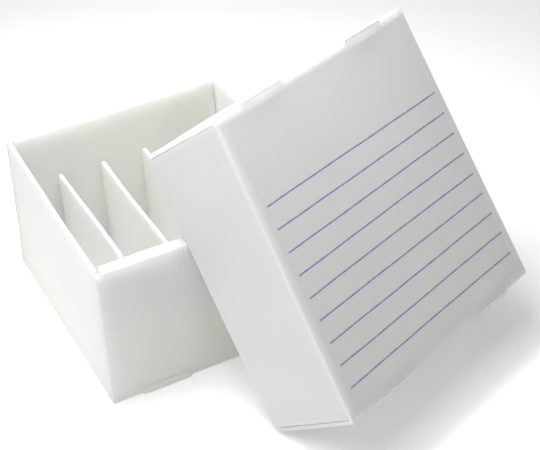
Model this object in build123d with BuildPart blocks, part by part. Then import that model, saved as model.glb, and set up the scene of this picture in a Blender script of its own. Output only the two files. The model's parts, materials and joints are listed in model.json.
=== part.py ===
"""Cryogenic storage box folded from fluted polypropylene sheet.

An open tray with four dividers stands on its floor, and its lid leans against it. Tray and lid
are folded the same way: a flat panel, two single side walls, and two rolled walls. A rolled wall
goes up outside, across a narrow rim and down again inside, and it traps the corner tabs that
turn in from the ends of the side walls. Two tongues at the foot of each inner layer pass out
under the outer layer and hook over the edge of the flat panel. Creases separate the panels.

Origin: centre of the tray's underside. +X to the right, +Y to the back, +Z up.
"""
import os
from math import cos, radians, sin

from build123d import *

# Driving dimensions, in millimetres and degrees.
SHEET = 2.0  # thickness of the fluted sheet
TAB_PLAY = 0.3  # room beside a corner tab inside a rolled wall
TRAY_WIDTH = 127.0  # outside, side wall to side wall
TRAY_DEPTH = 132.0  # outside, rolled wall to rolled wall
TRAY_HEIGHT = 82.0
LID_PLAY = 1.75  # gap all round between the tray and the lid that closes over it
LID_HEIGHT = 60.0
SIDE_DROP = 0.5  # a side wall ends this far below the rolled rims
INNER_END_GAP = 1.2  # slit between a rolled inner layer and the side wall
PANEL_PLAY = 0.15  # clearance beside a tab, a tongue or a panel end
CREASE_RADIUS = 0.8  # rounding of a folded edge

TONGUE_WIDTH = 27.0
TONGUE_SPREAD = 0.54  # distance between the two tongues over the outside width
TONGUE_PROUD = 1.3  # the tongue shows this far outside the wall

TAB_LENGTH = 34.0
TAB_TAPER = 9.0  # the free end of a corner tab narrows by this much at each edge

DIVIDER_COUNT = 4
DIVIDER_HEIGHT = 53.0
DIVIDER_FOOT = 12.0  # width of the foot flange folded at the bottom of a divider
DIVIDER_END_PLAY = 0.5
DIVIDER_FLOOR_PLAY = 0.1
DIVIDER_CORNER = 3.0

LID_YAW = 20.0  # the lid's width direction, turned from +X about +Z
LID_LEAN = 34.9  # the lid's flat face leans back by this much from upright
LID_CORNER_X = 0.5  # the lid's lower left rim corner, on the surface that the tray stands on
LID_CORNER_Y = -120.6

ROLLED = 3 * SHEET + TAB_PLAY  # thickness of a rolled wall
LID_WIDTH = TRAY_WIDTH + 2 * (LID_PLAY + SHEET)
LID_DEPTH = TRAY_DEPTH + 2 * (LID_PLAY + ROLLED)

# The tray's frame: local z runs from the flat panel towards the rim.
tray_frame = Plane.XY

# The lid's frame, in the middle of its flat face, with local z into its hollow.
yaw = radians(LID_YAW)
lean = radians(LID_LEAN)
lid_across = Vector(cos(yaw), sin(yaw), 0)
lid_outward = Vector(sin(yaw) * cos(lean), -cos(yaw) * cos(lean), sin(lean))
lid_up_face = lid_outward.cross(lid_across)
lid_centre = (
    Vector(LID_CORNER_X, LID_CORNER_Y, 0)
    + lid_across * (LID_WIDTH / 2)
    + lid_up_face * (LID_DEPTH / 2)
    + lid_outward * LID_HEIGHT
)
lid_frame = Plane(origin=lid_centre, x_dir=lid_across, z_dir=-lid_outward)

os.makedirs("parts", exist_ok=True)


def across_plane(frame, y):
    """Sketch plane across the frame at local y: sketch x is local x, sketch y is local z."""
    return Plane(origin=frame.from_local_coords((0, y, 0)), x_dir=frame.x_dir, z_dir=-frame.y_dir)


def side_plane(frame, x):
    """Sketch plane along the frame at local x: sketch x is local y, sketch y is local z."""
    return Plane(origin=frame.from_local_coords((x, 0, 0)), x_dir=frame.y_dir, z_dir=frame.x_dir)


def height_axis(frame):
    return Axis(frame.origin, frame.z_dir)


def width_axis(frame):
    return Axis(frame.origin, frame.x_dir)


def save(part, label):
    part.label = label
    export_step(part, f"parts/{label}.step")


def tongue_places(width):
    half = width * TONGUE_SPREAD / 2
    return (-half, half)


def flat_panel(label, frame, width, depth):
    """The floor of the tray or the top of the lid, notched at both ends for the tongues."""
    notch_depth = SHEET + PANEL_PLAY
    with BuildPart() as panel:
        with BuildSketch(frame):
            Rectangle(width, depth)
            notches = [
                (x, side * (depth - notch_depth) / 2)
                for x in tongue_places(width)
                for side in (-1, 1)
            ]
            with Locations(*notches):
                Rectangle(TONGUE_WIDTH + 2 * PANEL_PLAY, notch_depth, mode=Mode.SUBTRACT)
        extrude(amount=SHEET)
        outer_face = panel.faces().sort_by(height_axis(frame))[0]
        side_edges = outer_face.edges().filter_by(Axis(frame.origin, frame.y_dir))
        folded = [edge for edge in side_edges if edge.length > depth / 2]
        fillet(folded, CREASE_RADIUS)
    save(panel.part, label)


def side_wall(label, frame, side, width, depth, height):
    """A single wall between the two rolled walls, with a rounded upper edge."""
    length = depth - 2 * (SHEET + PANEL_PLAY)
    middle = (SHEET + height - SIDE_DROP) / 2
    inner_x = side * (width / 2 - SHEET)
    with BuildPart() as wall:
        with BuildSketch(side_plane(frame, inner_x)):
            with Locations((0, middle)):
                Rectangle(length, height - SIDE_DROP - SHEET)
        extrude(amount=side * SHEET)
        top_edges = wall.edges().group_by(height_axis(frame))[-1]
        fillet(top_edges.filter_by(Axis(frame.origin, frame.y_dir)), SHEET / 5)
    save(wall.part, label)


def corner_tab(label, frame, side, end, width, depth, height):
    """The end of a side wall, turned in between the two layers of a rolled wall."""
    low = SHEET + PANEL_PLAY
    high = height - SHEET - PANEL_PLAY
    root_x = side * (width / 2 - SHEET)
    tip_x = side * (width / 2 - SHEET - TAB_LENGTH)
    outer_y = end * (depth / 2 - SHEET - PANEL_PLAY)
    with BuildPart() as tab:
        with BuildSketch(across_plane(frame, outer_y)):
            with BuildLine():
                Polyline(
                    (root_x, low),
                    (tip_x, low + TAB_TAPER),
                    (tip_x, high - TAB_TAPER),
                    (root_x, high),
                    close=True,
                )
            make_face()
        extrude(amount=end * SHEET)
    save(tab.part, label)


def rolled_outer(label, frame, end, width, depth, height):
    """The outer layer of a rolled wall, notched at its foot for the tongues."""
    notch_height = SHEET + PANEL_PLAY
    notch_middle = SHEET + notch_height / 2
    with BuildPart() as layer:
        with BuildSketch(across_plane(frame, end * (depth / 2 - SHEET))):
            with Locations((0, height / 2)):
                Rectangle(width, height - 2 * SHEET)
            with Locations(*[(x, notch_middle) for x in tongue_places(width)]):
                Rectangle(TONGUE_WIDTH + 2 * PANEL_PLAY, notch_height, mode=Mode.SUBTRACT)
        extrude(amount=-end * SHEET)
        face = layer.faces().sort_by(Axis(frame.origin, frame.y_dir * end))[-1]
        upright = face.edges().filter_by(height_axis(frame))
        fillet([edge for edge in upright if edge.length > height / 2], CREASE_RADIUS)
    save(layer.part, label)


def rolled_rim(label, frame, end, width, depth, height):
    """The narrow rim panel between the two creases at the top of a rolled wall."""
    length = width - 2 * (SHEET + INNER_END_GAP)
    middle_y = end * (depth - ROLLED) / 2
    with BuildPart() as rim:
        with BuildSketch(frame.offset(height - SHEET)):
            with Locations((0, middle_y)):
                Rectangle(length, ROLLED)
        extrude(amount=SHEET)
        top_edges = rim.edges().group_by(height_axis(frame))[-1]
        fillet(top_edges.filter_by(width_axis(frame)), CREASE_RADIUS)
    save(rim.part, label)


def rolled_inner(label, frame, end, width, depth, height):
    """The inner layer of a rolled wall, with two tongues that hook over the flat panel."""
    length = width - 2 * (SHEET + INNER_END_GAP)
    inner_y = end * (depth / 2 - ROLLED)
    tip_y = end * (depth / 2 + TONGUE_PROUD)
    strap_length = ROLLED + TONGUE_PROUD
    hook_length = SHEET + TONGUE_PROUD
    with BuildPart() as layer:
        with BuildSketch(across_plane(frame, inner_y)):
            with Locations((0, height / 2)):
                Rectangle(length, height - 2 * SHEET)
        extrude(amount=-end * SHEET)
        with BuildSketch(frame.offset(SHEET)):
            with Locations(*[(x, tip_y - end * strap_length / 2) for x in tongue_places(width)]):
                Rectangle(TONGUE_WIDTH, strap_length)
        extrude(amount=SHEET)
        with BuildSketch(frame):
            with Locations(*[(x, tip_y - end * hook_length / 2) for x in tongue_places(width)]):
                Rectangle(TONGUE_WIDTH, hook_length)
        extrude(amount=SHEET)
        tip_faces = layer.faces().filter_by(Axis(frame.origin, frame.y_dir))
        tips = tip_faces.sort_by(Axis(frame.origin, frame.y_dir * end))[-2:]
        tip_edges = [edge for tip in tips for edge in tip.edges().filter_by(width_axis(frame))]
        fillet(tip_edges, CREASE_RADIUS)
    save(layer.part, label)


def folded_sheet(kind, flat_name, end_names, frame, width, depth, height):
    """All panels of the tray or the lid."""
    flat_panel(f"{kind}_{flat_name}", frame, width, depth)
    for side_name, side in (("left", -1), ("right", 1)):
        side_wall(f"{kind}_{side_name}_wall", frame, side, width, depth, height)
    for end_name, end in zip(end_names, (-1, 1)):
        rolled_outer(f"{kind}_{end_name}_outer", frame, end, width, depth, height)
        rolled_rim(f"{kind}_{end_name}_rim", frame, end, width, depth, height)
        rolled_inner(f"{kind}_{end_name}_inner", frame, end, width, depth, height)
        for side_name, side in (("left", -1), ("right", 1)):
            label = f"{kind}_{end_name}_{side_name}_tab"
            corner_tab(label, frame, side, end, width, depth, height)


def divider(number, x):
    """An upright blade, and the foot flange that keeps it standing on the floor."""
    length = TRAY_DEPTH - 2 * (ROLLED + DIVIDER_END_PLAY)
    base_z = SHEET + DIVIDER_FLOOR_PLAY
    with BuildPart() as blade:
        with BuildSketch(side_plane(tray_frame, x - SHEET / 2)):
            with Locations((0, base_z + DIVIDER_HEIGHT / 2)):
                Rectangle(length, DIVIDER_HEIGHT)
        extrude(amount=SHEET)
        end_edges = blade.edges().filter_by(Axis.X).group_by(Axis.Z)[-1]
        fillet(end_edges, DIVIDER_CORNER)
    save(blade.part, f"divider_{number}_blade")

    foot_middle = x + (SHEET + DIVIDER_FOOT) / 2
    with BuildPart() as foot:
        with BuildSketch(Plane.XY.offset(base_z)):
            with Locations((foot_middle, 0)):
                Rectangle(DIVIDER_FOOT, length)
        extrude(amount=SHEET)
        corners = foot.edges().filter_by(Axis.Z).group_by(Axis.X)[-1]
        fillet(corners, DIVIDER_CORNER)
    save(foot.part, f"divider_{number}_foot")


folded_sheet("tray", "floor", ("front", "back"), tray_frame, TRAY_WIDTH, TRAY_DEPTH, TRAY_HEIGHT)
folded_sheet("lid", "top", ("upper", "lower"), lid_frame, LID_WIDTH, LID_DEPTH, LID_HEIGHT)

lane_pitch = (TRAY_WIDTH - 2 * SHEET) / (DIVIDER_COUNT + 1)
for index in range(DIVIDER_COUNT):
    divider(index + 1, (index + 1) * lane_pitch - (TRAY_WIDTH - 2 * SHEET) / 2)
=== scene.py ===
"""Cryogenic storage box: folded fluted polypropylene tray, lid and loose dividers.

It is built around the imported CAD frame. Lengths are millimetres in a box's own axes (x across,
y from one rolled wall to the other, z from the flat panel towards the rim) until they are written
to a mesh, which is in metres in the CAD frame.
"""

import json
import math

import bmesh
import bpy
import numpy as np
from mathutils import Matrix, Vector


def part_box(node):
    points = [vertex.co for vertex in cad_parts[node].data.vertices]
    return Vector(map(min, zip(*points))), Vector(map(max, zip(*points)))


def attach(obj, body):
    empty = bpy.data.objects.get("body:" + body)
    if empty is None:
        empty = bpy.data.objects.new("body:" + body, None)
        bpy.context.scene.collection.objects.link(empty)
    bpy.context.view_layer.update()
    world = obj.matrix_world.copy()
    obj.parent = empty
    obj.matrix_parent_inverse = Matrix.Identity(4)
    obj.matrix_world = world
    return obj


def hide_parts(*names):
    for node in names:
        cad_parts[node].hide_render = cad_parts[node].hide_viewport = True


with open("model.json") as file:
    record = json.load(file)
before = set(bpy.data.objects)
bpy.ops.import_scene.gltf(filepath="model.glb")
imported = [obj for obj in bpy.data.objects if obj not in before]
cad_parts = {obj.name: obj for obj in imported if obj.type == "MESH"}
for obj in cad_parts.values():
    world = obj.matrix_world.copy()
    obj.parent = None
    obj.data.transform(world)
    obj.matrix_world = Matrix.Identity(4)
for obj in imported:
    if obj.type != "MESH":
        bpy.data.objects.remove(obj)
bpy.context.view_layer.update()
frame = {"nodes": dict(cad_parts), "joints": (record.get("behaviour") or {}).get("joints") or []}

MM = 0.001

# The sheet: two skins joined by webs, with open flutes between them.
FLUTE = 2.54  # from web to web
WEB = 0.18  # half a web's thickness
SKIN = 0.30  # a skin's thickness
RELIEF = 0.06  # how far a skin sinks between two webs
CRUSH = 4.5  # how much deeper it sinks where the sheet is creased
POCKET = 1.6  # depth to which an open flute is modelled
EDGE_CLEAR = 0.1  # a column of the mesh keeps this far from an edge
COLUMNS_PER_FLUTE = 4
INNER_SKIN_SEED = 0.37  # what tells the two skins apart in the materials

# Folds
CREASE = 3.5  # strip of the flat panel that belongs to a fold
CREASE_REACH = 2.4  # the skins are crushed this far from a fold
CREASE_CORE = 0.9  # a wall's mesh has an extra station this far from a fold
SCORE = 0.04  # depth of the score line beside a fold
SCORE_WIDTH = 0.5
FOLD_OUTER = 0.95  # radii of a fold
FOLD_INNER = 0.25
ARC_STEPS = 4
WALL_STEP = 7.0  # greatest distance between two stations of a wall's mesh
DIVIDER_STEP = 5.0
SEAM = 0.01  # gap between two pieces that meet in a fold
SMOOTH_UP_TO = math.radians(38)


# ----------------------------------------------------------------------------------------
# Measures of the CAD frame
# ----------------------------------------------------------------------------------------


def axes_of_lid():
    """The lid's own axes in the CAD frame: across, down its face, and from face to rim."""
    joint = next(j for j in frame["joints"] if j["name"] == "lid_lift_off")
    rim = -Vector(joint["axis"]).normalized()
    across = Vector((rim.y, -rim.x, 0)).normalized()
    if across.x < 0:
        across = -across
    return across, rim.cross(across), rim


def local_box(node, place):
    """Lowest and highest corner of a CAD node in a box's own axes, in millimetres."""
    inverse = np.array(place.inverted(), float)
    points = np.array([v.co for v in frame["nodes"][node].data.vertices], float)
    points = points @ inverse[:3, :3].T + inverse[:3, 3]
    return points.min(0) / MM, points.max(0) / MM


def placing(axes, origin):
    """The matrix that takes a box's own axes to the CAD frame."""
    matrix = Matrix.Identity(4)
    for column, axis in enumerate(axes):
        for row in range(3):
            matrix[row][column] = axis[row]
    for row in range(3):
        matrix[row][3] = origin[row]
    return matrix


class Measures:
    """Sizes of one folded box, read from its CAD nodes."""

    def __init__(self, kind, flat, ends, place):
        self.kind, self.flat, self.ends, self.place = kind, flat, ends, place
        first = ends[0]
        flat_low, flat_high = local_box(flat, place)
        rim_low, rim_high = local_box(f"{kind}_{first}_rim", place)
        tab_low, tab_high = local_box(f"{kind}_{first}_left_tab", place)
        outer_high = local_box(f"{kind}_{first}_outer", place)[1]
        wall_high = local_box(f"{kind}_left_wall", place)[1]
        inner_low = local_box(f"{kind}_{first}_inner", place)[0]
        self.sheet = round(flat_high[2] - flat_low[2], 3)
        self.half_width = outer_high[0]
        self.half_depth = -rim_low[1]
        self.height = rim_high[2]
        self.rolled = rim_high[1] - rim_low[1]
        self.rim_half_width = rim_high[0]
        self.wall_height = wall_high[2]
        self.wall_half_depth = wall_high[1]
        self.tab_free = tab_high[0]
        self.tab_low, self.tab_high = tab_low[2], tab_high[2]
        self.proud = -inner_low[1] - self.half_depth  # how far the tongues stand out


tray_place = Matrix.Identity(4)
lid_axes = axes_of_lid()
# The face's box in the frame isn't centred on the face, so its middle is measured in its own axes.
face_low, face_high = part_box("lid_top")
rough_place = placing(lid_axes, (face_low + face_high) / 2)
panel_low, panel_high = local_box("lid_top", rough_place)
panel_middle = (panel_low + panel_high) / 2
lid_origin = rough_place @ Vector(
    (panel_middle[0] * MM, panel_middle[1] * MM, panel_low[2] * MM)
)
lid_place = placing(lid_axes, lid_origin)
tray = Measures("tray", "tray_floor", ("front", "back"), tray_place)
lid = Measures("lid", "lid_top", ("upper", "lower"), lid_place)

TONGUE_SPREAD = 0.54  # of the half width
TONGUE_HALF = 13.5  # half a tongue's width
TONGUE_GAP = 0.15  # between a tongue and the end of its slot
SLOT_TOP = 2.15  # above the floor's inside
TONGUE_RUN = 10  # the run number of a tongue's points
TAB_TAPER = 9.0  # a tab's end is this much lower at its top and at its foot
TAB_REACH = 34.0  # a tab's length
TAB_CRUSH = 0.35  # a tab's fold is crushed less than the others
FLAT_TONGUE = 0.4  # the lid's upper tongues are pressed flatter than the others


# ----------------------------------------------------------------------------------------
# Sheet meshes
# ----------------------------------------------------------------------------------------


def merged(values, least=0.04):
    """Sorted values with near repeats dropped."""
    kept = []
    for v in sorted(values):
        if not kept or v - kept[-1] > least:
            kept.append(v)
    return np.array(kept)


def flute_columns(low, high, extra=()):
    """Places across the flutes where a sheet's mesh has a vertex, from low to high."""
    values = [low, high, *extra]
    protected = list(values)
    for k in range(math.floor(low / FLUTE) - 1, math.ceil(high / FLUTE) + 2):
        for part in (-WEB, 0.0, WEB, FLUTE / 2):
            v = k * FLUTE + part
            if low < v < high and all(abs(v - p) > EDGE_CLEAR for p in protected):
                values.append(v)
    return merged(values)


def sink(across, seed):
    """How far a skin lies below its webs, for places across the flutes."""
    cell = np.floor(across / FLUTE).astype(int)
    part = across / FLUTE - cell
    wobble = 0.75 + 0.5 * np.modf(np.abs(np.sin(cell * 12.9898 + seed) * 43758.5453))[0]
    return RELIEF * wobble * np.sin(np.pi * part) ** 2


def fillet(before, corner, after, radius):
    """Points of a rounded corner between two straight runs."""
    a = (before - corner) / np.linalg.norm(before - corner)
    b = (after - corner) / np.linalg.norm(after - corner)
    half = math.acos(max(-1.0, min(1.0, float(a @ b)))) / 2
    reach = radius / math.tan(half)
    start, end = corner + a * reach, corner + b * reach
    middle = corner + (a + b) / np.linalg.norm(a + b) * (radius / math.sin(half))
    start_angle = math.atan2(*(start - middle)[::-1])
    turn = math.atan2(*(end - middle)[::-1]) - start_angle
    turn = (turn + math.pi) % (2 * math.pi) - math.pi
    angles = start_angle + turn * np.linspace(0, 1, ARC_STEPS + 1)
    return middle + radius * np.stack([np.cos(angles), np.sin(angles)], 1)


def offset_path(points, thickness):
    """The same path at a distance to its left."""
    runs = np.diff(points, axis=0)
    runs = runs / np.linalg.norm(runs, axis=1)[:, None]
    left = np.stack([-runs[:, 1], runs[:, 0]], 1)
    made = [points[0] + left[0] * thickness]
    for k in range(1, len(points) - 1):
        bisector = left[k - 1] + left[k]
        made.append(points[k] + bisector * thickness / (1 + float(left[k - 1] @ left[k])))
    made.append(points[-1] + left[-1] * thickness)
    return np.array(made)


def rounding(gap, radius):
    """How far a side draws back towards a rounded edge that lies gap away."""
    arc = np.sqrt(np.clip(radius ** 2 - (radius - gap) ** 2, 0, None))
    return np.where(gap < radius, radius - arc, 0)


class Path:
    """A folded strip's section: matching points on its two sides, and how creased it is at each.

    run says which straight run a point is on. A point in the fold after run k has run k + 0.5.
    """

    def __init__(self, points, thickness, step):
        points = np.array(points, float)
        inner_points = offset_path(points, thickness)
        outer, inner, crease, run_of = [], [], [], []
        last = len(points) - 1
        ends = [
            (fillet(*points[k:k + 3], FOLD_OUTER), fillet(*inner_points[k:k + 3], FOLD_INNER))
            for k in range(last - 1)
        ]
        for k in range(last):
            o0 = points[0] if k == 0 else ends[k - 1][0][-1]
            o1 = points[last] if k == last - 1 else ends[k][0][0]
            i0 = inner_points[0] if k == 0 else ends[k - 1][1][-1]
            i1 = inner_points[last] if k == last - 1 else ends[k][1][0]
            length = float(np.linalg.norm(o1 - o0))
            shares = list(np.linspace(0, 1, max(1, math.ceil(length / step)) + 1))
            for near in (CREASE_CORE, CREASE_REACH):
                if length > 3 * near:
                    shares += [near / length] if k > 0 else []
                    shares += [1 - near / length] if k < last - 1 else []
            for share in merged(shares, 0.3 / max(length, 1)):
                distance = min(
                    share * length if k > 0 else math.inf,
                    (1 - share) * length if k < last - 1 else math.inf,
                )
                outer.append(o0 + (o1 - o0) * share)
                inner.append(i0 + (i1 - i0) * share)
                crease.append(max(0.0, 1 - distance / CREASE_REACH) ** 2)
                run_of.append(k)
            if k < last - 1:
                for o, i in list(zip(*ends[k]))[1:-1]:
                    outer.append(o)
                    inner.append(i)
                    crease.append(1.0)
                    run_of.append(k + 0.5)
        self.outer, self.inner = np.array(outer), np.array(inner)
        self.crease, self.run = np.array(crease), np.array(run_of, float)

    def add(self, outer, inner, crease, run):
        self.outer = np.vstack([self.outer, outer])
        self.inner = np.vstack([self.inner, inner])
        self.crease = np.append(self.crease, crease)
        self.run = np.append(self.run, run)

    def find(self, axis, value):
        """The first point of run 1 that isn't below a value, and where the value lies before it."""
        k = int(np.nonzero((self.run == 1) & (self.outer[:, axis] < value))[0][-1]) + 1
        low, high = self.outer[k - 1:k + 1, axis]
        return k, (value - low) / (high - low)

    def insert(self, k, share):
        """Puts a point between points k - 1 and k of run 1."""
        outer = self.outer[k - 1] + (self.outer[k] - self.outer[k - 1]) * share
        inner = self.inner[k - 1] + (self.inner[k] - self.inner[k - 1]) * share
        self.outer = np.insert(self.outer, k, outer, 0)
        self.inner = np.insert(self.inner, k, inner, 0)
        self.crease = np.insert(self.crease, k, self.crease[k])
        self.run = np.insert(self.run, k, 1)

    def length(self):
        """How far along the strip each point lies."""
        middle = (self.outer + self.inner) / 2
        return np.append(0.0, np.cumsum(np.linalg.norm(np.diff(middle, axis=0), axis=1)))


class SheetMesh:
    """Collects a closed slab from grids of matching points on its two sides."""

    def __init__(self):
        self.points, self.faces, self.sheet, self.crease = [], [], [], []

    def put(self, point, sheet, crease):
        self.points.append(point)
        self.sheet.append(sheet)
        self.crease.append(crease)
        return len(self.points) - 1

    def grid(self, outer, inner, across, along, crease, mask, pockets=(), seed=0.0):
        """Adds a slab whose outer and inner points are [row, column, 3].

        across and along place each point on the flat sheet. mask says which cells there are.
        pockets lists the (row, first column, last column) of ends where the flutes stay open.
        """
        rows, columns = mask.shape
        used = np.zeros((rows + 1, columns + 1), bool)
        for di in (0, 1):
            for dj in (0, 1):
                used[di:rows + di, dj:columns + dj] |= mask
        index = -np.ones((2, rows + 1, columns + 1), int)
        for side, points in enumerate((outer, inner)):
            for i, j in zip(*np.nonzero(used)):
                note = (across[i, j], along[i, j], seed + side * INNER_SKIN_SEED)
                index[side, i, j] = self.put(points[i, j], note, crease[i, j])
        o, n = index
        for i, j in zip(*np.nonzero(mask)):
            self.faces.append((o[i, j], o[i + 1, j], o[i + 1, j + 1], o[i, j + 1]))
            self.faces.append((n[i, j], n[i, j + 1], n[i + 1, j + 1], n[i + 1, j]))

        def free(i, j):
            return not (0 <= i < rows and 0 <= j < columns and mask[i, j])

        open_ends = {}
        for row, first, last in pockets:
            open_ends[row] = open_ends.get(row, []) + [(first, last)]
        for i, j in zip(*np.nonzero(mask)):
            if free(i, j - 1):
                self.faces.append((o[i, j], n[i, j], n[i + 1, j], o[i + 1, j]))
            if free(i, j + 1):
                self.faces.append((o[i, j + 1], o[i + 1, j + 1], n[i + 1, j + 1], n[i, j + 1]))
            for row, edge_free in ((i, free(i - 1, j)), (i + 1, free(i + 1, j))):
                in_pocket = any(first <= j < last for first, last in open_ends.get(row, []))
                if edge_free and not in_pocket:
                    self.faces.append((o[row, j], o[row, j + 1], n[row, j + 1], n[row, j]))
        for row, spans in open_ends.items():
            for first, last in spans:
                self.open_flutes(outer, inner, o, n, across, along, row, first, last, seed)

    def open_flutes(self, outer, inner, o, n, across, along, row, first, last, seed):
        """Closes a sheet's end with a pocket for each whole flute between two columns."""
        inside = row - 1 if row > 0 else row + 1
        places = across[row]
        share = SKIN / max(2 * SKIN, float(np.linalg.norm(outer[row, first] - inner[row, first])))

        def on_web(j):
            return j <= last and abs(places[j] / FLUTE - round(places[j] / FLUTE)) < 0.01

        j = first
        while j < last:
            if not (on_web(j) and on_web(j + COLUMNS_PER_FLUTE)):
                self.faces.append((o[row, j], o[row, j + 1], n[row, j + 1], n[row, j]))
                j += 1
                continue
            ring = []
            for k in (j + 1, j + 2, j + 3):
                a, b = outer[row, k], inner[row, k]
                inward = (outer[inside, k] + inner[inside, k]) / 2 - (a + b) / 2
                inward = inward / max(1e-6, float(np.linalg.norm(inward))) * POCKET
                note = (across[row, k], along[row, k], seed)
                mouth = a + (b - a) * share, b + (a - b) * share
                bottom = mouth[0] + inward, mouth[1] + inward
                ring.append([self.put(p, note, 0.0) for p in (*mouth, *bottom)])
            (a0, b0, c0, d0), (a1, b1, c1, d1), (a2, b2, c2, d2) = ring
            self.faces += [
                (o[row, j], o[row, j + 1], a0, b0, n[row, j + 1], n[row, j]),
                (o[row, j + 3], o[row, j + 4], n[row, j + 4], n[row, j + 3], b2, a2),
                (o[row, j + 1], o[row, j + 2], a1, a0), (o[row, j + 2], o[row, j + 3], a2, a1),
                (b0, b1, n[row, j + 2], n[row, j + 1]), (b1, b2, n[row, j + 3], n[row, j + 2]),
                (a0, a1, c1, c0), (a1, a2, c2, c1), (b0, d0, d1, b1), (b1, d1, d2, b2),
                (a0, c0, d0, b0), (a2, b2, d2, c2), (c0, c1, d1, d0), (c1, c2, d2, d1),
            ]
            j += COLUMNS_PER_FLUTE

    def mirror(self, axis):
        """Turns the slab into its mirror image, to make the opposite wall from the same section."""
        signs = np.ones(3)
        signs[axis] = -1
        self.points = [point * signs for point in self.points]

    def build(self, name, place, warp=None):
        """Makes the object, in metres in the CAD frame."""
        points = np.array(self.points, float)
        if warp is not None:
            points = warp(points)
        matrix = np.array(place, float)
        points = (points * MM) @ matrix[:3, :3].T + matrix[:3, 3]
        mesh = bpy.data.meshes.new(name)
        mesh.from_pydata(points.tolist(), [], self.faces)
        sheet = mesh.attributes.new("sheet", "FLOAT_VECTOR", "POINT")
        sheet.data.foreach_set("vector", np.array(self.sheet, np.float32).ravel())
        crease = mesh.attributes.new("crease", "FLOAT", "POINT")
        crease.data.foreach_set("value", np.array(self.crease, np.float32))
        shaped = bmesh.new()
        shaped.from_mesh(mesh)
        bmesh.ops.recalc_face_normals(shaped, faces=shaped.faces)
        shaped.to_mesh(mesh)
        shaped.free()
        mesh.shade_smooth()
        mesh.set_sharp_from_angle(angle=SMOOTH_UP_TO)
        made = bpy.data.objects.new(name, mesh)
        bpy.context.scene.collection.objects.link(made)
        return made


# ----------------------------------------------------------------------------------------
# A folded box
# ----------------------------------------------------------------------------------------

ROLL_BULGE = 0.8  # how far the inner layer of a rolled wall leans in at its middle, at the rim
ROLL_BOW = 0.5  # how far a rolled wall bows out at its middle
TRAY_BACK_BOW = 1.8
SIDE_BOW = 0.45  # how far a side wall's rim bows out at its middle
FACE_DISH = 0.175  # how far the lid's face sinks at its middle
TONGUE_DIMPLE = 0.35  # the lid's face swells over the tongues
DIMPLE_SIZE = 11.0, 2.6  # across and along
DIMPLE_INSET = 5.0  # from the face's end
RIM_ROUND = 0.6  # radius of a free edge
CORNER_ROUND = 0.7  # radius of the box's upright corners
LID_SHEAR = 2.7  # the face has slipped this far up over the rim, which stands on the ground
LID_LEAN_IN = 3.0  # the upper wall leans in this far at its rim
LID_RACK = 4.0  # the left wall is turned this far in at its upper end and out at its lower end
TRAY_PINCH = 2.4  # the mouth is narrower by this much on each side at the back
TRAY_LEAN_BACK = 1.2
TRAY_SKEW_BACK = 1.2  # the right end of the back leans this much more, the left end less


def lid_slack(x, y, z, m):
    """How a flexible lid that leans on its rim is out of square."""
    height = np.clip(z / m.height, 0, 1)
    leftness = np.clip((m.half_width - x) / (2 * m.half_width), 0, 1)
    upperness = np.clip((m.half_depth - y) / (2 * m.half_depth), 0, 1)
    dx = -LID_RACK * leftness * y / m.half_depth
    dy = -LID_SHEAR * (1 - height) + LID_LEAN_IN * height * upperness
    return dx, dy


def tray_slack(x, y, z, m):
    """How the open tray's mouth is out of square."""
    height = np.clip(z / m.height, 0, 1)
    back = np.clip((y + m.half_depth) / (2 * m.half_depth), 0, 1)
    side_share = x / m.half_width
    dx = -side_share * TRAY_PINCH * height * back
    dy = (TRAY_LEAN_BACK + TRAY_SKEW_BACK * side_share) * height * back ** 2
    return dx, dy


def soft_step(t):
    """From 0 to 1 without a kink at either end."""
    t = np.clip(t, 0, 1)
    return t * t * (3 - 2 * t)


def swell_of_tongues(x, y, m):
    """One over each of the four tongues, falling off around them."""
    swell = 0.0
    for side in (-1, 1):
        for end in (-1, 1):
            dx = (x - side * TONGUE_SPREAD * m.half_width) / DIMPLE_SIZE[0]
            dy = (y - end * (m.half_depth - DIMPLE_INSET)) / DIMPLE_SIZE[1]
            swell = swell + np.exp(-dx ** 2 - dy ** 2)
    return swell


def onto_arc(near, da, db, radius):
    """Which points stand out of a rounded corner, and their distances from its centre if moved."""
    away = np.hypot(da, db)
    hit = near & (da > 0) & (db > 0) & (away > radius)
    scale = radius / away[hit]
    return hit, da[hit] * scale, db[hit] * scale


def round_corners(p, z, m):
    """Rounds the corners where two folds meet, like the folds."""
    radius = FOLD_OUTER
    x_centre = m.half_width - radius
    hit, da, db = onto_arc(z < radius, np.abs(p[:, 0]) - x_centre, radius - p[:, 2], radius)
    p[hit, 0] = np.sign(p[hit, 0]) * (x_centre + da)
    p[hit, 2] = radius - db
    radius = CORNER_ROUND
    x_centre, y_centre = m.half_width - radius, m.half_depth - radius
    hit, da, db = onto_arc(True, np.abs(p[:, 0]) - x_centre, np.abs(p[:, 1]) - y_centre, radius)
    p[hit, 0] = np.sign(p[hit, 0]) * (x_centre + da)
    p[hit, 1] = np.sign(p[hit, 1]) * (y_centre + db)


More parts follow.
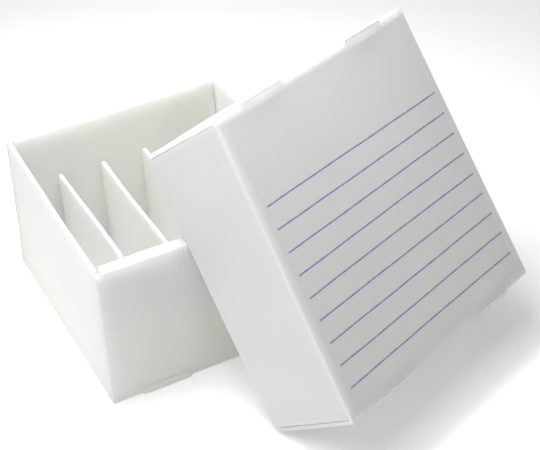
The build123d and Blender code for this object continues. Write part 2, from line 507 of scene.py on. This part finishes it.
def box_warp(m, seed):
    """The small ways in which a folded box isn't flat, as one smooth field over all its pieces."""
    is_lid = m.kind == "lid"

    def warp(p):
        p = p.copy()
        x, y, z = p[:, 0].copy(), p[:, 1].copy(), p[:, 2].copy()
        height = np.clip(z / m.height, 0, 1)
        reach = np.clip(1 - (x / m.rim_half_width) ** 2, 0, 1)
        depth_in = np.clip((np.abs(y) - (m.half_depth - m.rolled)) / m.rolled, 0, 1.2)
        rolled = np.abs(y) > m.half_depth - m.rolled - 0.6
        lean = ROLL_BULGE * (1 - soft_step(depth_in)) * reach * height ** 4
        bow_size = np.where((y > 0) & (not is_lid), TRAY_BACK_BOW, ROLL_BOW)
        bow = bow_size * soft_step(depth_in) * reach * np.sin(np.pi * height * 0.8)
        wave = 0.12 * np.sin(x * 0.11 + seed) * height * soft_step(depth_in)
        wave = wave + 0.06 * np.sin(x * 0.31 + seed * 2.1) * height
        p[:, 1] += np.where(rolled, np.sign(y) * (bow + wave - lean), 0)
        along = np.clip(1 - (y / m.wall_half_depth) ** 2, 0, 1)
        side = np.abs(x) > m.half_width - m.sheet - 0.7
        drift = SIDE_BOW * along * height + 0.10 * np.sin(y * 0.09 + seed * 1.7) * height * along
        p[:, 0] += np.where(side & ~(depth_in > 0.25), np.sign(x) * drift, 0)
        if is_lid:
            in_face = soft_step((m.sheet * 1.02 + 0.3 - z) / 0.3)
            dish = np.cos(np.pi * x / (2 * m.half_width)) * np.cos(np.pi * y / (2 * m.half_depth))
            p[:, 2] += FACE_DISH * np.clip(dish, 0, 1) * in_face
            p[:, 2] -= TONGUE_DIMPLE * swell_of_tongues(x, y, m) * in_face
        round_corners(p, z, m)
        dx, dy = (lid_slack if is_lid else tray_slack)(x, y, z, m)
        p[:, 0] += dx
        p[:, 1] += dy
        return p

    return warp


def normals_of(outer, inner):
    """Unit vectors from a sheet's outer side to its inner side."""
    across = inner - outer
    return across / np.maximum(1e-9, np.linalg.norm(across, axis=-1))[..., None]


def panel(m, seed):
    """The flat panel between the folds."""
    half_x, half_y = m.half_width - CREASE - SEAM, m.half_depth - CREASE - SEAM
    columns = flute_columns(-half_x, half_x, (-half_x + SCORE_WIDTH, half_x - SCORE_WIDTH))
    near_ends = [s * (half_y - d) for s in (-1, 1) for d in (SCORE_WIDTH, 1.5, 3.0)]
    rows = merged(list(np.linspace(-half_y, half_y, 25)) + near_ends)
    edge = np.minimum(half_x - np.abs(columns)[None, :], half_y - np.abs(rows)[:, None])
    score = SCORE * np.clip(1 - edge / SCORE_WIDTH, 0, 1)
    dip = sink(columns, seed)[None, :] + score
    x, y = np.meshgrid(columns, rows)
    outer = np.stack([x, y, dip], -1)
    inner = np.stack([x, y, m.sheet - dip], -1)
    made = SheetMesh()
    mask = np.ones((len(rows) - 1, len(columns) - 1), bool)
    made.grid(outer, inner, x, y, np.clip(1 - edge / 1.2, 0, 1) * 0.5, mask, seed=seed)
    return made


def rolled_path(m, proud):
    """A rolled wall's section, and the point where its tongues begin."""
    d, t = m.half_depth, m.sheet
    back = -d + m.rolled
    corners = [(-d + CREASE - SEAM, 0), (-d, 0), (-d, m.height), (back, m.height), (back, t + 0.05)]
    path = Path(corners, -t, WALL_STEP)
    for z in (t + SLOT_TOP, m.height - t):
        k, share = path.find(1, z)
        if 0.06 < share < 0.94:
            path.insert(k, share)
        else:
            path.outer[k if share >= 0.94 else k - 1, 1] = z
    foot = len(path.run) - 1
    for outer, inner, crease in (
        ((back - 0.10, t + 0.02), (back - t + 0.02, t + 1.95), 0.8),
        ((back - 0.60, t + 0.02), (back - t - 0.35, t + 2.00), 0.8),
        ((back - 3.50, t + 0.02), (back - 3.90, t + 1.98), 0.1),
        ((-d + 0.90, t + 0.02), (-d + 0.60, t + 1.94), 0.3),
        ((-d + 0.86, t - 0.22), (-d - 0.20, t + 1.62), 0.9),
        ((-d + 0.84, t - 0.55), (-d - proud * 0.56, t + 1.10), 0.9),
        ((-d + 0.84, t - 0.90), (-d - proud * 0.88, t + 0.30), 0.6),
        ((-d + 0.84, t - 1.30), (-d - proud, t - 0.70), 0.4),
        ((-d + 0.82, 0.42), (-d - proud * 0.93, 0.48), 0.4),
        ((-d + 0.75, 0.18), (-d - proud * 0.72, 0.20), 0.5),
        ((-d + 0.35, 0.07), (-d - proud * 0.42, 0.09), 0.6),
    ):
        path.add(outer, inner, crease, TONGUE_RUN)
    return path, foot


def roll(m, end, seed):
    """A rolled wall: up from the fold, over the rim and down inside.

    Two tongues at its foot come out through slots in the fold.
    """
    d, t = m.half_depth, m.sheet
    proud = m.proud * (FLAT_TONGUE if m.kind == "lid" and end < 0 else 1.0)
    path, foot = rolled_path(m, proud)
    centres = [s * TONGUE_SPREAD * m.half_width for s in (-1, 1)]
    edges = [c + s * (TONGUE_HALF + g) for c in centres for s in (-1, 1) for g in (0, TONGUE_GAP)]
    edges += [-m.rim_half_width, m.rim_half_width]
    columns = flute_columns(-m.half_width, m.half_width, edges)
    middle = (columns[1:] + columns[:-1]) / 2
    from_centre = np.min([np.abs(middle - c) for c in centres], 0)
    in_tongue, in_notch = from_centre < TONGUE_HALF, from_centre < TONGUE_HALF + TONGUE_GAP
    in_rim = np.abs(middle) < m.rim_half_width
    count = len(path.run) - 1
    mask = np.ones((count, len(middle)), bool)
    for i in range(count):
        z = (path.outer[i, 1] + path.outer[i + 1, 1]) / 2
        if 0 < path.run[i + 1] <= 1 and z < t + SLOT_TOP:
            mask[i] &= ~in_notch
        past_wall = path.run[i + 1] > 1 or (path.run[i] == 1 and z > m.height - t)
        if past_wall:
            mask[i] &= in_rim
        if i >= foot:
            mask[i] = in_tongue
    crushed = 1 + CRUSH * path.crease * (path.run < TONGUE_RUN)
    score = np.zeros(len(path.run))
    score[0] = SCORE
    dip = sink(columns, seed)[None, :] * crushed[:, None] + score[:, None]

    def by_row(values):
        return np.broadcast_to(values[:, None], dip.shape)

    x = np.broadcast_to(columns[None, :], dip.shape)
    outer = np.stack([x, by_row(path.outer[:, 0]), by_row(path.outer[:, 1])], -1)
    inner = np.stack([x, by_row(path.inner[:, 0]), by_row(path.inner[:, 1])], -1)
    normal = normals_of(outer, inner)
    outer = outer + normal * dip[..., None]
    inner = inner - normal * (sink(columns, seed + 1)[None, :] + score[:, None] * 0.5)[..., None]
    along = by_row(path.length()) + m.half_depth
    # A tongue's sides are pressed back, so that it swells out between them.
    shown = (path.run == TONGUE_RUN) & (path.inner[:, 0] < -d + 0.3)
    gap = TONGUE_HALF - np.min([np.abs(columns - c) for c in centres], 0)
    pressed = proud * 0.75 * np.where(gap > -0.01, np.exp(-np.clip(gap, 0, None) / 0.8), 0)
    out = np.clip((-d + 0.3 - path.inner[shown, 0]) / proud, 0, 1)
    inner[shown, :, 1] += pressed[None, :] * out[:, None]
    made = SheetMesh()
    made.grid(outer, inner, x, along, by_row(path.crease), mask, seed=seed)
    if end > 0:
        made.mirror(1)
    return made


def along_path(values, across, path):
    """The points of a path's outer and inner side at these lengths along it."""
    return [
        np.stack([np.interp(values, across, points[:, axis]) for axis in (0, 1)], -1)
        for points in (path.outer, path.inner)
    ]


def side(m, hand, seed):
    """A single side wall with the tabs that turn in behind the rolled walls."""
    w, t = m.half_width, m.sheet
    up = Path([(-w + CREASE - SEAM, 0), (-w, 0), (-w, m.wall_height)], -t, WALL_STEP)
    across = up.length()
    # Heights follow the flutes, so that each web is in the mesh.
    wall_start, end = float(across[up.run == 1][0]), float(across[-1])
    wanted = [v for v in flute_columns(0.0, end) if wall_start + 0.3 < v < end - 0.7]
    base = list(across[up.run < 1])
    values = merged(base + [wall_start] + wanted + [end - 0.55, end - 0.2, end], 0.06)
    s_outer, s_inner = along_path(values, across, up)
    s_crease = np.interp(values, across, up.crease)
    in_base = values <= wall_start + 1e-6
    squeeze = rounding(values[-1] - values, RIM_ROUND)
    d = m.wall_half_depth
    around = Path([(m.tab_free, -d), (-w, -d), (-w, d), (m.tab_free, d)], -t, WALL_STEP)
    extra = m.half_depth - CREASE - SEAM
    for y in (-extra, extra):
        around.insert(*around.find(1, y))
    v_length = around.length()
    v_length = v_length - v_length[len(v_length) // 2]
    rows, columns = len(around.run), len(values)
    # Rows run along the flutes, columns across them.
    crushed = 1 + CRUSH * TAB_CRUSH * around.crease
    dip = sink(values, seed)[None, :] * crushed[:, None] * (1 - s_crease[None, :])
    dip_in = sink(values, seed + 1)[None, :] * np.ones((rows, 1))
    score = np.zeros(columns)
    score[0] = SCORE
    outer, inner = np.zeros((rows, columns, 3)), np.zeros((rows, columns, 3))
    h_normal = normals_of(around.outer, around.inner)
    straight = around.run == 1
    turned = np.where(straight, 0.0, 1.0)
    tab_start = np.abs(v_length[straight]).max() + 2
    tab_share = np.clip((np.abs(v_length) - tab_start) / TAB_REACH, 0, 1)
    # A tab is lower than the wall, and narrows towards its free end.
    wall_span = m.wall_height - t
    tab_middle = (m.tab_high + m.tab_low) / 2
    tab_scale = (m.tab_high - m.tab_low) / wall_span - 2 * TAB_TAPER / wall_span * tab_share
    for j in range(columns):
        if in_base[j]:
            normal = (s_inner[j] - s_outer[j]) / np.linalg.norm(s_inner[j] - s_outer[j])
            for points, start, shift in (
                (outer, s_outer[j], dip[:, j] + score[j]),
                (inner, s_inner[j], -dip_in[:, j] - score[j] * 0.5),
            ):
                points[:, j, 0] = start[0] + normal[0] * shift
                points[:, j, 1] = around.outer[:, 1]
                points[:, j, 2] = start[1] + normal[1] * shift
            continue
        for points, edge, z, shift in (
            (outer, around.outer, s_outer[j, 1], dip[:, j] + squeeze[j]),
            (inner, around.inner, s_inner[j, 1], -dip_in[:, j] - squeeze[j]),
        ):
            points[:, j, :2] = edge + h_normal * shift[:, None]
            squashed = tab_middle + (z - (m.wall_height + t) / 2) * tab_scale
            points[:, j, 2] = z * (1 - turned) + squashed * turned
    v_mid = (around.outer[1:, 1] + around.outer[:-1, 1]) / 2
    v_straight = straight[1:] & straight[:-1]
    mask = np.ones((rows - 1, columns - 1), bool)
    low = (s_outer[1:, 1] + s_outer[:-1, 1]) / 2 < t + 0.15
    for j in np.nonzero(low)[0]:
        mask[:, j] = v_straight & (np.abs(v_mid) < extra)
    crease = np.maximum(around.crease[:, None] * 0.8, s_crease[None, :])
    x = np.broadcast_to(values[None, :], (rows, columns))
    y = np.broadcast_to(v_length[:, None], (rows, columns))
    made = SheetMesh()
    made.grid(outer, inner, x, y, crease, mask, seed=seed)
    if hand > 0:
        made.mirror(0)
    return made


END_PLAY = 0.8  # a divider stops short of the rolled walls, which lean in
DIVIDER_BOWS = 1, -0.7, 0.9, -0.5  # which way and how much each blade bows
DIVIDER_CORNER = 3.0  # radius of a blade's upper corners
DIVIDER_CORNER_REACH = 8
FOOT_ROUND = 0.4


def divider(number, seed):
    """An L of sheet: a blade that stands across the tray's depth, and a foot on the floor."""
    blade_low, blade_high = (np.array(c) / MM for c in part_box(f"divider_{number}_blade"))
    foot_low, foot_high = (np.array(c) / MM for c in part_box(f"divider_{number}_foot"))
    fold_x, floor_z = blade_low[0], foot_low[2]
    corners = [(foot_high[0], floor_z), (fold_x, floor_z), (fold_x, blade_high[2])]
    up = Path(corners, -tray.sheet, DIVIDER_STEP)
    across = up.length()
    blade_start, end = float(across[up.run == 1][0]), float(across[-1])
    foot_end = float(across[up.run == 0][-1])
    arc = list(across[(up.run > 0) & (up.run < 1)])

    def wanted(v):
        in_fold = arc[0] - 0.2 < v < blade_start + 0.2 or abs(v - blade_start) <= 0.3
        return 0.6 < v < end - 0.7 and not in_fold and abs(v - foot_end) > 0.2

    webs = [v for v in flute_columns(0.0, end) if wanted(v)]
    top = [end - g for g in (0.6, 0.42, 0.22, 0.0)]
    values = merged([0.0, 0.15, 0.4, foot_end, *arc, blade_start, *webs, *top], 0.06)
    outer2, inner2 = along_path(values, across, up)
    crease1 = np.interp(values, across, up.crease)
    normal = normals_of(outer2, inner2)
    half = blade_high[1] - END_PLAY
    near_ends = [s * (half - g) for s in (-1, 1) for g in (0.4, 1.0, 1.8, 3.0)]
    rows = merged(list(np.linspace(-half, half, 21)) + near_ends)
    count = (len(rows), len(values))
    squeeze = rounding(end - values, RIM_ROUND) + rounding(values, FOOT_ROUND)
    dip = sink(values, seed) * (1 - crease1)
    x = np.broadcast_to(values[None, :], count)
    y = np.broadcast_to(rows[:, None], count)
    outer, inner = np.zeros((*count, 3)), np.zeros((*count, 3))
    corner = DIVIDER_CORNER
    near_end = np.clip((np.abs(rows) - (half - DIVIDER_CORNER_REACH)) / DIVIDER_CORNER_REACH, 0, 1)
    # A slight bow and a wave, which grow towards the free edge.
    bow = 0.45 * np.cos(np.pi * rows / (2 * half)) * DIVIDER_BOWS[number - 1]
    bow = bow + 0.18 * np.sin(rows * 0.08 + seed)
    for points, flat, shift in (
        (outer, outer2, dip + squeeze),
        (inner, inner2, -sink(values, seed + 1) - squeeze),
    ):
        moved = flat + normal * shift[:, None]
        rise = np.clip(moved[:, 1] - (blade_high[2] - corner), 0, corner)
        trim = corner - np.sqrt(np.clip(corner ** 2 - rise ** 2, 0.0001, None))
        height = np.clip((moved[:, 1] - foot_high[2]) / (blade_high[2] - foot_high[2]), 0, 1)
        points[:, :, 0] = moved[None, :, 0] + bow[:, None] * height[None, :] ** 1.5
        points[:, :, 1] = y - np.sign(y) * trim[None, :] * near_end[:, None]
        points[:, :, 2] = moved[None, :, 1]
    last_row, last = count[0] - 1, count[1] - 1
    mask = np.ones((last_row, last), bool)
    pockets = [(0, 0, last), (last_row, 0, last)]
    made = SheetMesh()
    made.grid(outer, inner, x, y, np.broadcast_to(crease1[None, :], count), mask, pockets, seed)
    return made


LINE_COUNT = 9
LINE_FIRST = 41.92 + LID_SHEAR
LINE_PITCH = 11.12
LINE_LEFT, LINE_RIGHT = 6.8, 130.2
LINE_HALF = 0.36  # half a line's width
INK_PROUD = 0.03  # above the skin
INK_SUNK = 0.05  # below it


def ruled_lines(m, seed):
    """Printed writing lines that follow the flutes of the lid's face."""
    columns = flute_columns(LINE_LEFT - m.half_width, LINE_RIGHT - m.half_width)
    made = SheetMesh()
    for k in range(LINE_COUNT):
        y = -m.half_depth + LINE_FIRST + k * LINE_PITCH
        rows = y + LINE_HALF * np.array([-1, -0.5, 0, 0.5, 1])
        x, v = np.meshgrid(columns, rows)
        wander = 0.10 * np.sin(columns * 0.045 + k * 1.3) + 0.05 * np.sin(columns * 0.17 + k * 2.9)
        swell = 1 + 0.10 * np.sin(columns * 0.6 + k) + 0.06 * np.sin(columns * 1.7 + k * 3)
        v = y + (v - y) * swell[None, :] + wander[None, :]
        dip = np.broadcast_to(sink(columns, seed)[None, :], x.shape)
        edge = np.array([1.0, 0.15, 0, 0.15, 1.0])[:, None] * INK_PROUD
        outer = np.stack([x, v, dip - INK_PROUD + edge * 0.9], -1)
        inner = np.stack([x, v, dip + INK_SUNK], -1)
        mask = np.ones((len(rows) - 1, len(columns) - 1), bool)
        made.grid(outer, inner, x, v, np.zeros(x.shape), mask, seed=k * 0.61)
    return made


# ----------------------------------------------------------------------------------------
# Materials
# ----------------------------------------------------------------------------------------


class Nodes:
    """A short way to write a node tree."""

    def __init__(self, name):
        self.material = bpy.data.materials.new(name)
        self.material.use_nodes = True
        self.tree = self.material.node_tree
        self.tree.nodes.clear()

    def add(self, kind, inputs=None, **settings):
        node = self.tree.nodes.new(kind)
        for key, value in settings.items():
            setattr(node, key, value)
        for key, value in (inputs or {}).items():
            if isinstance(value, bpy.types.NodeSocket):
                self.tree.links.new(value, node.inputs[key])
            else:
                node.inputs[key].default_value = value
        return node

    def math(self, operation, a, b=0.0, clamp=False):
        node = self.add("ShaderNodeMath", {0: a, 1: b}, operation=operation, use_clamp=clamp)
        return node.outputs[0]

    def times(self, a, b):
        return self.math("MULTIPLY", a, b)

    def plus(self, a, b):
        return self.math("ADD", a, b)

    def ramp(self, value, low, high, out_low=0.0, out_high=1.0):
        inputs = {
            "Value": value, "From Min": low, "From Max": high,
            "To Min": out_low, "To Max": out_high,
        }
        node = self.add("ShaderNodeMapRange", inputs, interpolation_type="SMOOTHSTEP")
        return node.outputs["Result"]

    def mix(self, factor, a, b):
        """A mix of two colours, each a socket or three numbers."""
        node = self.tree.nodes.new("ShaderNodeMix")
        node.data_type = "RGBA"
        for key, value in ((0, factor), (6, a), (7, b)):
            if isinstance(value, bpy.types.NodeSocket):
                self.tree.links.new(value, node.inputs[key])
            else:
                node.inputs[key].default_value = (*value, 1) if key else value
        return node.outputs[2]

    def noise(self, vector, scale, detail=3.0, roughness=0.5):
        inputs = {"Vector": vector, "Scale": scale, "Detail": detail, "Roughness": roughness}
        return self.add("ShaderNodeTexNoise", inputs).outputs["Fac"]

    def stretched_noise(self, vector, scale, detail=3.0, roughness=0.5):
        stretched = self.add("ShaderNodeVectorMath", {0: vector, 1: scale}, operation="MULTIPLY")
        return self.noise(stretched.outputs[0], 1.0, detail, roughness)

    def from_middle_of_flute(self, sheet):
        """0 at the middle of a flute and 1 at a web."""
        across = self.add("ShaderNodeSeparateXYZ", {0: sheet}).outputs[0]
        cell = self.plus(self.math("DIVIDE", across, FLUTE), 100.0)
        middle = self.math("SUBTRACT", self.math("FRACT", cell), 0.5)
        return self.times(self.math("ABSOLUTE", middle), 2.0)

    def close(self, shader):
        self.add("ShaderNodeOutputMaterial", {"Surface": shader})
        return self.material


def sheet_material(name, tint, webs, translucency):
    """White translucent polypropylene.

    Its webs show through the skin, and it has draw lines, whitened creases and scuffs.
    """
    n = Nodes(name)
    sheet = n.add("ShaderNodeAttribute", attribute_name="sheet").outputs["Vector"]
    crease = n.add("ShaderNodeAttribute", attribute_name="crease").outputs["Fac"]
    place = n.add("ShaderNodeTexCoord").outputs["Object"]
    web = n.ramp(n.from_middle_of_flute(sheet), 0.62, 0.97)
    blotch = n.noise(place, 26.0, 4.0, 0.55)
    cloud = n.noise(place, 9.0, 2.0, 0.5)
    draw = n.stretched_noise(sheet, (1.1, 0.012, 1.0), 4.0, 0.65)
    fine = n.stretched_noise(sheet, (4.0, 0.06, 1.0), 3.0, 0.6)
    speck = n.noise(place, 420.0, 3.0, 0.6)
    scratch = n.stretched_noise(place, (60.0, 900.0, 300.0), 4.0, 0.7)
    uneven = n.stretched_noise(sheet, (0.8, 0.8, 1.0))

    dark = tuple(c * 0.94 for c in tint)
    cool = (tint[0] * 0.955, tint[1] * 0.965, tint[2] * 0.985)
    warm = (min(1, tint[0] * 1.01), tint[1], tint[2] * 0.965)
    white = (0.975, 0.975, 0.97)
    dirt = (0.62, 0.62, 0.60)
    whitened = n.times(n.math("POWER", crease, 0.8), n.ramp(uneven, 0.25, 0.7, 0.45, 0.95))
    scuff = n.times(n.ramp(speck, 0.62, 0.75), n.ramp(blotch, 0.4, 0.7))
    colour = n.mix(n.ramp(cloud, 0.35, 0.65), cool, warm)
    colour = n.mix(n.times(n.ramp(blotch, 0.45, 0.75), 0.35), colour, dark)
    colour = n.mix(n.times(n.math("SUBTRACT", 1.0, web), webs), colour, dark)
    colour = n.mix(n.times(n.ramp(draw, 0.45, 0.75), 0.6), colour, dark)
    colour = n.mix(whitened, colour, white)
    colour = n.mix(n.times(scuff, 0.25), colour, dirt)

    rough = n.plus(n.ramp(cloud, 0.3, 0.7, 0.36, 0.46), n.times(fine, 0.08))
    rough = n.plus(rough, n.times(n.ramp(scratch, 0.55, 0.8), 0.14))
    rough = n.math("ADD", rough, n.times(whitened, 0.10), clamp=True)

    relief = n.plus(n.times(draw, 0.5), n.times(fine, 0.3))
    relief = n.plus(relief, n.times(web, 0.45))
    relief = n.plus(relief, n.times(speck, 0.22))
    relief = n.math("SUBTRACT", relief, n.times(n.ramp(scratch, 0.6, 0.85), 0.15))
    bump = n.add("ShaderNodeBump", {"Strength": 0.5, "Distance": 0.00008, "Height": relief})
    skin = n.add("ShaderNodeBsdfPrincipled", {
        "Base Color": colour, "Roughness": rough, "Normal": bump.outputs["Normal"], "IOR": 1.49,
    })
    glow = n.add("ShaderNodeBsdfTranslucent", {
        "Color": n.mix(0.5, colour, white), "Normal": bump.outputs["Normal"],
    })
    through = n.times(
        n.ramp(blotch, 0.35, 0.7, 1.0, 0.88),
        n.ramp(whitened, 0.0, 1.0, translucency, translucency * 0.8),
    )
    both = n.add("ShaderNodeMixShader", {0: through, 1: skin.outputs[0], 2: glow.outputs[0]})
    return n.close(both.outputs[0])


def ink_material(name):
    """Blue printing ink, thinner over the sunken skins, with worn specks."""
    n = Nodes(name)
    sheet = n.add("ShaderNodeAttribute", attribute_name="sheet").outputs["Vector"]
    place = n.add("ShaderNodeTexCoord").outputs["Object"]
    blotch = n.stretched_noise(sheet, (0.35, 2.0, 7.0), 4.0, 0.6)
    grain = n.noise(place, 1600.0, 3.0, 0.6)
    sunken = n.ramp(n.from_middle_of_flute(sheet), 0.9, 0.4)
    colour = n.mix(n.ramp(blotch, 0.3, 0.7), (0.17, 0.17, 0.42), (0.29, 0.29, 0.54))
    colour = n.mix(n.times(sunken, 0.25), colour, (0.36, 0.37, 0.62))
    colour = n.mix(n.times(n.ramp(grain, 0.6, 0.75), 0.5), colour, (0.6, 0.6, 0.72))
    bump = n.add("ShaderNodeBump", {"Strength": 0.3, "Distance": 0.00003, "Height": grain})
    shader = n.add("ShaderNodeBsdfPrincipled", {
        "Base Color": colour, "Roughness": n.ramp(blotch, 0.3, 0.7, 0.45, 0.62),
        "Normal": bump.outputs["Normal"], "IOR": 1.5,
    })
    return n.close(shader.outputs[0])


def floor_material(name):
    """Plain pale paper, which glows faintly."""
    n = Nodes(name)
    place = n.add("ShaderNodeTexCoord").outputs["Object"]
    tone = n.mix(n.ramp(n.noise(place, 3.0), 0.3, 0.7), (0.93, 0.93, 0.93), (0.95, 0.95, 0.95))
    shader = n.add("ShaderNodeBsdfPrincipled", {
        "Base Color": tone, "Roughness": 0.9, "Specular IOR Level": 0.0,
        "Emission Color": (1, 1, 1, 1), "Emission Strength": 0.18,
    })
    return n.close(shader.outputs[0])


# ----------------------------------------------------------------------------------------
# Assembly
# ----------------------------------------------------------------------------------------

TRAY_SEED, LID_SEED, DIVIDER_SEED = 1.7, 4.3, 7.0
# The lid's white is the tray's sheet made darker and a little cooler: painted shade over the whole
# lid.
WARM_WHITE, LID_SHADED_WHITE = (0.985, 0.985, 0.968), (0.915, 0.92, 0.92)

tray_white = sheet_material("tray_polypropylene", WARM_WHITE, webs=0.26, translucency=0.50)
lid_white = sheet_material("lid_polypropylene", LID_SHADED_WHITE, webs=0.60, translucency=0.40)
divider_white = sheet_material("divider_polypropylene", WARM_WHITE, webs=0.20, translucency=0.66)
ink = ink_material("blue_ink")


def finish_piece(piece, material, body, nodes):
    """Gives a piece its material and its body, and hides the CAD nodes that it replaces."""
    piece.data.materials.append(material)
    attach(piece, body)
    if nodes:
        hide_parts(*nodes)


for m, material, seed in ((tray, tray_white, TRAY_SEED), (lid, lid_white, LID_SEED)):
    kind, slot = m.kind, f"{m.kind}_sheet"
    warp = box_warp(m, seed)
    flat = panel(m, seed).build(f"{kind}_flat_panel", m.place, warp)
    finish_piece(flat, material, kind, [m.flat])
    for end_name, end in zip(m.ends, (-1, 1)):
        wall = roll(m, end, seed).build(f"{kind}_{end_name}_rolled_wall", m.place, warp)
        layers = [f"{kind}_{end_name}_{part}" for part in ("outer", "rim", "inner")]
        finish_piece(wall, material, kind, layers)
    for hand_name, hand in (("left", -1), ("right", 1)):
        wall = side(m, hand, seed + hand * 0.4)
        wall = wall.build(f"{kind}_{hand_name}_side_wall", m.place, warp)
        tabs = [f"{kind}_{end_name}_{hand_name}_tab" for end_name in m.ends]
        finish_piece(wall, material, kind, [f"{kind}_{hand_name}_wall", *tabs])

lines = ruled_lines(lid, LID_SEED).build("lid_ruled_lines", lid.place, box_warp(lid, LID_SEED))
finish_piece(lines, ink, "lid", [])

for number in (1, 2, 3, 4):
    name = f"divider_{number}"
    piece = divider(number, DIVIDER_SEED + number).build(f"{name}_folded_sheet", tray.place)
    finish_piece(piece, divider_white, name, [f"{name}_blade", f"{name}_foot"])


# ----------------------------------------------------------------------------------------
# Floor, lights and camera
# ----------------------------------------------------------------------------------------

# All of these are in metres, in the CAD frame.
FLOOR_HALF = 3.0
FLOOR_FLAT = 1.8  # the floor is flat this far out
FLOOR_CURVE = 0.12


def build_floor():
    """A wide plain sheet that curves up slightly far away."""
    mesh = bpy.data.meshes.new("studio_floor")
    steps = np.linspace(-FLOOR_HALF, FLOOR_HALF, 25)
    points = [
        (x, y, FLOOR_CURVE * max(0.0, math.hypot(x, y) - FLOOR_FLAT) ** 2)
        for y in steps for x in steps
    ]
    count = len(steps)
    faces = [(j * count + i, j * count + i + 1, (j + 1) * count + i + 1, (j + 1) * count + i)
             for j in range(count - 1) for i in range(count - 1)]
    mesh.from_pydata(points, [], faces)
    mesh.shade_smooth()
    mesh.materials.append(floor_material("pale_floor"))
    floor = bpy.data.objects.new("studio_floor", mesh)
    bpy.context.scene.collection.objects.link(floor)


def area_light(name, place, target, size, power):
    """A white rectangular lamp that faces a target."""
    lamp = bpy.data.lights.new(name, "AREA")
    lamp.shape, lamp.size, lamp.size_y, lamp.energy = "RECTANGLE", size[0], size[1], power
    lamp.color = (1.0, 1.0, 1.0)
    holder = bpy.data.objects.new(name, lamp)
    bpy.context.scene.collection.objects.link(holder)
    holder.location = place
    holder.rotation_euler = (Vector(target) - Vector(place)).to_track_quat("-Z", "Y").to_euler()


def build_world():
    world = bpy.data.worlds.new("studio")
    bpy.context.scene.world = world
    world.use_nodes = True
    background = world.node_tree.nodes["Background"]
    background.inputs["Color"].default_value = (1, 1, 1, 1)
    background.inputs["Strength"].default_value = 0.22


def build_camera():
    camera = bpy.data.objects.new("camera", bpy.data.cameras.new("camera"))
    bpy.context.scene.collection.objects.link(camera)
    camera.data.sensor_width = 36.0
    camera.data.lens = 87.9
    camera.data.clip_start, camera.data.clip_end = 0.01, 20.0
    forward = Vector((0.3618, 0.7107, -0.6033)).normalized()
    camera.location = (-0.2032, -0.5166, 0.4591)
    roll_angle = Matrix.Rotation(math.radians(-2.06), 3, "Z")
    camera.rotation_euler = (forward.to_track_quat("-Z", "Y").to_matrix() @ roll_angle).to_euler()
    bpy.context.scene.camera = camera


build_floor()
area_light("key", (-0.22, -0.10, 0.50), (0.0, -0.06, 0.08), (0.40, 0.40), 1.6)
area_light("side_fill", (-0.9, -0.55, 0.18), (-0.02, -0.05, 0.05), (0.7, 0.5), 0.6)
area_light("over_mouth", (0.0, 0.03, 0.34), (0.0, 0.0, 0.03), (0.15, 0.15), 1.15)
area_light("front_fill", (0.1, -0.9, 0.95), (0.02, -0.05, 0.06), (0.7, 0.7), 0.9)
area_light("overhead", (0.0, 0.1, 1.3), (0.02, -0.05, 0.06), (1.2, 1.2), 2.3)
build_world()
build_camera()
bpy.context.scene.view_settings.view_transform = "Standard"
